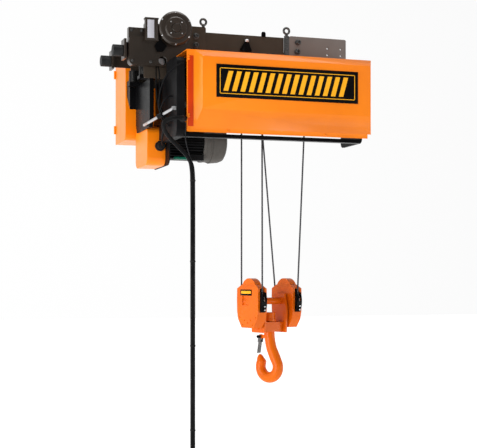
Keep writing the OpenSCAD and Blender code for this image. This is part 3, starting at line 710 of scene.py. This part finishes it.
def make_falls():
    """Four stranded falls, from the block's sheaves up to the drum and the upper sheave."""
    span_half = SHEAVE_SPAN / 2
    drum_tangent = Vector((ROPE_EXIT_X, DRUM_AXIS.y + DRUM_R, DRUM_AXIS.z))
    anchor = contact(BLOCK, BLOCK_YAW, -span_half, 1)
    ends = [(contact(BLOCK, BLOCK_YAW, span_half, -1), drum_tangent),
            (contact(BLOCK, BLOCK_YAW, span_half, 1), contact(UPPER, UPPER_YAW, 0, 1)),
            (contact(BLOCK, BLOCK_YAW, -span_half, -1), contact(UPPER, UPPER_YAW, 0, -1)),
            (anchor, Vector((anchor.x, anchor.y, DRUM_AXIS.z)))]
    strands = 6
    per_strand = 4
    lay_length = 0.070
    valley = 0.80
    sides = strands * per_strand
    steps = 240
    for index, (low, high) in enumerate(ends):
        path = [low.lerp(high, k / steps) for k in range(steps + 1)]
        length = (high - low).length

        def section(i, share):
            twist = 2 * math.pi * share * length / lay_length
            ring = []
            for k in range(sides):
                angle = 2 * math.pi * k / sides
                lobe = abs(math.sin(angle * strands / 2))
                radius = ROPE_D / 2 * (valley + (1 - valley) * lobe)
                ring.append((radius * math.cos(angle + twist), radius * math.sin(angle + twist)))
            return ring

        fall = sweep(f"rope_fall_{index}", path, section, "rope_steel", None)
        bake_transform(fall)
    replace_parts(fall, "rope_falls")


def wrap(name, centre, yaw, along, end, body):
    """Rope lying in a sheave's groove, from +Y round to the end angle in degrees."""
    steps = 32
    turn = Matrix.Rotation(yaw, 3, "Z")
    path = []
    for k in range(steps + 1):
        angle = math.radians(end * k / steps)
        spot = Vector((along, SHEAVE_R * math.cos(angle), SHEAVE_R * math.sin(angle)))
        path.append(centre + turn @ spot)
    sweep(name, path, circle_section(ROPE_D / 2, 10), "rope_steel", body)


def make_wraps():
    """Rope under the two block sheaves and over the upper one."""
    wrap("rope_on_sheave_a", BLOCK, BLOCK_YAW, -SHEAVE_SPAN / 2, -180, "hook_block")
    wrap("rope_on_sheave_b", BLOCK, BLOCK_YAW, SHEAVE_SPAN / 2, -180, "hook_block")
    wrap("rope_on_upper_sheave", UPPER, UPPER_YAW, 0, 180, ROOT)


# ---------- hook ----------

def make_hook():
    """Forged hook: round shank, stout bowl and a tapering tip, turned about its shank."""
    bowl = Vector((0, 0, -0.390))
    mean = 0.063
    bowl_start, bowl_turn = 24, -229
    path, sizes = [], []
    # Stem: height, sideways, half width in the hook's plane, half thickness
    for z, x, size, width in [
            (-0.075, 0, 0.0200, 0.0200), (-0.120, 0, 0.0200, 0.0200), (-0.176, 0, 0.0200, 0.0200),
            (-0.1805, 0, 0.0310, 0.0310), (-0.194, 0, 0.0318, 0.0318), (-0.212, 0.002, 0.0312, 0.0308),
            (-0.235, 0.006, 0.0312, 0.0304), (-0.258, 0.0105, 0.0314, 0.0304),
            (-0.282, 0.0175, 0.0320, 0.0308), (-0.306, 0.0290, 0.0326, 0.0314),
            (-0.332, 0.0415, 0.0330, 0.0320)]:
        path.append(Vector((x, 0, z)))
        sizes.append((size, width))
    arc = 48
    for k in range(arc + 1):
        share = k / arc
        angle = math.radians(bowl_start + bowl_turn * share)
        belly = math.sin(math.pi * min(1.0, share * 1.15))
        path.append(bowl + Vector((mean * math.cos(angle), 0, mean * math.sin(angle))))
        taper = 1 - 0.05 * max(0.0, share - 0.7) / 0.3
        sizes.append(((0.0315 + 0.0015 * belly) * taper, (0.0305 + 0.0020 * belly) * taper))
    # Tip, from the bowl's centre: sideways, up, half width
    for x, z, size in [(-0.0620, 0.036, 0.0262), (-0.0645, 0.047, 0.0222), (-0.0662, 0.057, 0.0182),
                       (-0.0670, 0.066, 0.0125), (-0.0672, 0.072, 0.0060)]:
        path.append(bowl + Vector((x, 0, z)))
        sizes.append((size, size))

    def section(i, share):
        return ellipse(*sizes[i], 32)

    hook = sweep("forged_hook", [HOOK_TURN @ p for p in path], section, "hook_orange", "hook")
    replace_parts(hook, "hook")


def make_latch_fittings():
    """Lugs on the hook for the latch's pin, the pin's ends and its coiled spring."""
    pivot = Vector((-0.062, 0, -0.212))
    near = HOOK_TURN.to_3x3() @ Vector(NEAR)

    def at(x, y, z):
        return HOOK_TURN @ (pivot + Vector((x, y, z)))

    inner, outer = 0.0015, 0.008
    eye = [(0.0051, 0), (0.012, 0), (0.013, 0.001), (0.013, 0.0065), (0.0051, 0.0065)]
    bm = bmesh.new()
    for side in (-1, 1):
        lathe_bm(bm, eye, at(0, side * inner, 0), -side * near, 32)
        box_bm(bm, (pivot.x + 0.009, min(side * inner, side * outer), pivot.z - 0.010),
               (pivot.x + 0.040, max(side * inner, side * outer), pivot.z + 0.010), 0.001, HOOK_TURN)
    from_bm("latch_lug", bm, "hook_orange", "hook")
    coils = 4
    steps = 16
    pitch = 0.002
    radius = 0.0075
    spring = []
    for k in range(coils * steps + 1):
        angle = 2 * math.pi * k / steps
        spring.append(at(radius * math.cos(angle), -0.0285 + pitch * k / steps, radius * math.sin(angle)))
    sweep("latch_spring", spring, circle_section(0.0009, 8), "black_paint", "hook_latch")
    bm = bmesh.new()
    rod_bm(bm, at(0, -0.030, 0), at(0, -0.0195, 0), 0.0055)
    rod_bm(bm, at(0, 0.0195, 0), at(0, 0.024, 0), 0.0075)
    lathe_bm(bm, [(0, 0), (0.0085, 0), (0.0085, 0.003), (0.006, 0.005), (0, 0.005)],
             at(0, -0.030, 0), near, 28)
    from_bm("latch_pin_ends", bm, "black_paint", "hook_latch")


def make_block_details():
    """Blank label plate, keeper plates in the recesses, screws and the guards' screws."""
    outer = SHEAVE_SPAN / 2 + 0.032
    bm = bmesh.new()
    box_bm(bm, (-outer - 0.0015, -0.044, 0.033), (-outer + 0.001, 0.068, 0.068), 0.0005, BLOCK_TURN)
    from_bm("block_label", bm, "black_paint", "hook_block")
    bm = bmesh.new()
    box_bm(bm, (-outer - 0.0019, -0.036, 0.044), (-outer - 0.001, 0.060, 0.060), 0.0003, BLOCK_TURN)
    from_bm("block_label_band", bm, "border_yellow", "hook_block")

    def screw_bm(start, end, radius, sides):
        """Adds a screw head, in the block's own turned frame."""
        rod_bm(bm, BLOCK_TURN @ Vector(start), BLOCK_TURN @ Vector(end), radius, sides)

    head = 0.003
    cover_screws = [(-0.080, -0.096), (0.080, -0.096), (-0.048, -0.140), (0.048, -0.140),
                    (0.0, -0.128), (0.03, -0.112), (-0.03, -0.112)]
    bm = bmesh.new()
    for side in (-1, 1):
        face = side * (outer - 0.0065)
        edge = side * (outer - 0.0025)
        box_bm(bm, (min(face, edge), 0.006, -0.006), (max(face, edge), 0.046, 0.010), 0.001, BLOCK_TURN)
        for y in (0.026, 0.038):
            screw_bm((edge, y, 0.002), (edge + side * head, y, 0.002), 0.004, 6)
        for y, z in cover_screws:
            screw_bm((side * outer, y, z), (side * (outer + head), y, z), 0.005, 6)
    from_bm("block_screws", bm, "hook_orange", "hook_block")
    bm = bmesh.new()
    for side in (-1, 1):
        for z in (-0.050, -0.030):
            x = side * SHEAVE_SPAN / 2
            screw_bm((x, -0.122, z), (x, -0.131, z), 0.0045, 20)
    from_bm("guard_screws", bm, "bare_steel", "hook_block")


# ---------- cables and small fittings ----------

def make_rod_clip():
    """Black clip round the tie rod."""
    start, stop = Vector((-0.446, -0.440, -0.222)), Vector((-0.5216, -0.186, -0.270))
    bm = bmesh.new()
    rod_bm(bm, start.lerp(stop, 0.41), start.lerp(stop, 0.59), 0.0146)
    from_bm("rod_clip", bm, "black_paint", ROOT)


def make_harness():
    """The cable of the brake and four thin ones, which run over the gearbox end."""
    brake = [(-0.426, -0.104, -0.384), (-0.430, -0.132, -0.382), (-0.446, -0.190, -0.364),
             (-0.456, -0.250, -0.330), (-0.458, -0.300, -0.290), (-0.452, -0.340, -0.266),
             (-0.435, -0.350, -0.262)]
    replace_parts(wire("brake_cable", brake, 0.006, "cable_rubber", ROOT), "harness_cable")
    arcs = [
        [(-0.392, -0.455, 0.020), (-0.420, -0.462, 0.012), (-0.470, -0.420, -0.030),
         (-0.490, -0.360, -0.090), (-0.492, -0.310, -0.150), (-0.480, -0.270, -0.205),
         (-0.460, -0.262, -0.235), (-0.433, -0.260, -0.240)],
        [(-0.480, -0.190, 0.050), (-0.486, -0.215, 0.000), (-0.490, -0.235, -0.080),
         (-0.488, -0.250, -0.150), (-0.478, -0.262, -0.215), (-0.455, -0.280, -0.255),
         (-0.433, -0.290, -0.262)],
        [(-0.470, -0.190, 0.050), (-0.474, -0.240, -0.010), (-0.478, -0.262, -0.090),
         (-0.476, -0.272, -0.170), (-0.465, -0.300, -0.240), (-0.433, -0.320, -0.275)],
        [(-0.433, -0.360, -0.145), (-0.455, -0.362, -0.150), (-0.478, -0.345, -0.175),
         (-0.486, -0.300, -0.230), (-0.470, -0.290, -0.262), (-0.433, -0.300, -0.300)],
    ]
    for index, points in enumerate(arcs):
        wire(f"harness_{index}", points, 0.0038, "cable_rubber", ROOT)


def make_strain_wire():
    """The thin wire beside the pendant cable, its clips and the boot on the cable's gland."""
    beside = Vector((0.0138, 0.0, 0))
    upper = [(-0.386, -0.470, -0.300), (-0.392, -0.490, -0.400), (-0.370, -0.500, -0.490)]
    lower = [Vector(p) + beside for p in CABLE_POINTS[HANGS_FROM:]]
    sweep("strain_wire", curve_points(upper + lower, 8), circle_section(0.0026, 8), "rope_steel", ROOT)
    bm = bmesh.new()
    for z in (-0.62, -1.05, -1.50, -1.95):
        box_bm(bm, (-0.3715, -0.5165, z), (-0.3435, -0.4935, z + 0.012), 0.0045)
    from_bm("strain_wire_clips", bm, "black_plastic", ROOT)
    bore = CABLE_D / 2
    boot = [(bore, -0.030), (bore + 0.002, -0.030), (bore + 0.003, 0.0), (0.0185, 0.004),
            (0.0185, 0.016), (bore, 0.018)]
    lathe("cable_boot", boot, (-0.400, -0.474, -0.280), (0, 1, 0), "black_rubber", ROOT, 32)


def make_motor_details():
    """Green band under the fins, and the end shield's ring and bolts."""
    centre_y, centre_z = 0.086, -0.336
    bolt_circle = 0.100
    bm = bmesh.new()
    box_bm(bm, (-0.330, -0.020, -0.4495), (-0.235, 0.010, -0.4365), 0.001)
    from_bm("motor_green_band", bm, "green_tape", ROOT)
    bm = bmesh.new()
    for k in range(4):
        angle = math.radians(45 + 90 * k)
        a = Vector((-0.097, centre_y + bolt_circle * math.cos(angle),
                    centre_z + bolt_circle * math.sin(angle)))
        rod_bm(bm, a, a + Vector((0.004, 0, 0)), 0.008, sides=6)
    from_bm("shield_bolts", bm, "dark_steel", ROOT)
    ring = [(0.100, -0.003), (0.1190, -0.003), (0.1195, 0.0), (0.1195, 0.012), (0.1175, 0.014),
            (0.1175, 0.040), (0.1200, 0.042), (0.1200, 0.054), (0.100, 0.054)]
    lathe("motor_shield", ring, (-0.148, centre_y, centre_z), ALONG_BEAM, "grey_iron", ROOT, 72)


def make_stage():
    """Plain pale floor, below the hook's lowest place."""
    clearance = 0.05
    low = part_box("hook")[0][2] - LIFT_DOWN - clearance
    half = 150
    mesh = bpy.data.meshes.new("floor")
    mesh.from_pydata([(-half, -half, low), (half, -half, low), (half, half, low), (-half, half, low)],
                     [], [(0, 1, 2, 3)])
    floor = add_to_scene("floor", mesh)
    mat, tree, shader = nodes_of("floor_white")
    tree.links.new(ramp(tree, noise(tree, 2, 2), [(0.3, (0.88, 0.88, 0.88)), (0.7, (0.92, 0.92, 0.92))]),
                   shader.inputs["Base Color"])
    shader.inputs["Roughness"].default_value = 0.9
    shader.inputs["Emission Color"].default_value = (1, 1, 1, 1)
    shader.inputs["Emission Strength"].default_value = 0.7
    mesh.materials.append(mat)


def area_light(name, place, target, size, power):
    """A soft box of the given width and height, aimed at the target."""
    data = bpy.data.lights.new(name, "AREA")
    data.shape = "RECTANGLE"
    data.size, data.size_y = size
    data.energy = power
    lamp = add_to_scene(name, data)
    lamp.location = place
    lamp.rotation_euler = (Vector(target) - Vector(place)).to_track_quat("-Z", "Y").to_euler()


def make_world():
    """White room with one dimmer wall in front, so flat fronts keep their full colour."""
    # Place from front (0) to back (1), then brightness
    walls = [(0.0, 0.22), (0.35, 0.26), (0.62, 0.80), (1.0, 1.0)]
    world = bpy.data.worlds.new("studio")
    world.use_nodes = True
    tree = world.node_tree
    background = tree.nodes["Background"]
    coord = tree.nodes.new("ShaderNodeTexCoord")
    axes = tree.nodes.new("ShaderNodeSeparateXYZ")
    tree.links.new(coord.outputs["Generated"], axes.inputs["Vector"])
    place = tree.nodes.new("ShaderNodeMapRange")
    place.inputs["From Min"].default_value = -1
    place.inputs["From Max"].default_value = 1
    tree.links.new(axes.outputs["Y"], place.inputs["Value"])
    grey = ramp(tree, place.outputs["Result"], [(stop, (value,) * 3) for stop, value in walls])
    tree.links.new(grey, background.inputs["Color"])
    background.inputs["Strength"].default_value = 1.0
    bpy.context.scene.world = world


def make_lights():
    """Soft boxes to the left, above and below; their reflections run along the bevels."""
    target = (0.1, 0, -0.3)
    area_light("left_box", (-3.6, -1.6, -0.2), target, (1.6, 3.0), 68)
    area_light("top_box", (0.4, -1.2, 3.2), target, (3.0, 1.6), 70)
    area_light("low_left_box", (-2.6, -1.4, -1.7), target, (1.6, 0.9), 42)
    area_light("low_right_box", (3.0, -1.2, -1.7), target, (1.6, 0.9), 24)
    area_light("front_key", (3.2, -5.2, 1.6), target, (1.4, 1.4), 12)


make_camera()
make_cords()
make_refined()
make_plate_bolts()
make_cover_screws()
make_travel_cover_bolts()
make_terminal_box()
make_gearcase_details()
make_track_pin()
make_flange_shade_strip()
make_nameplate()
make_drum()
make_falls()
make_wraps()
make_hook()
make_latch_fittings()
make_block_details()
make_harness()
make_strain_wire()
make_rod_clip()
make_motor_details()
make_stage()
make_world()
make_lights()
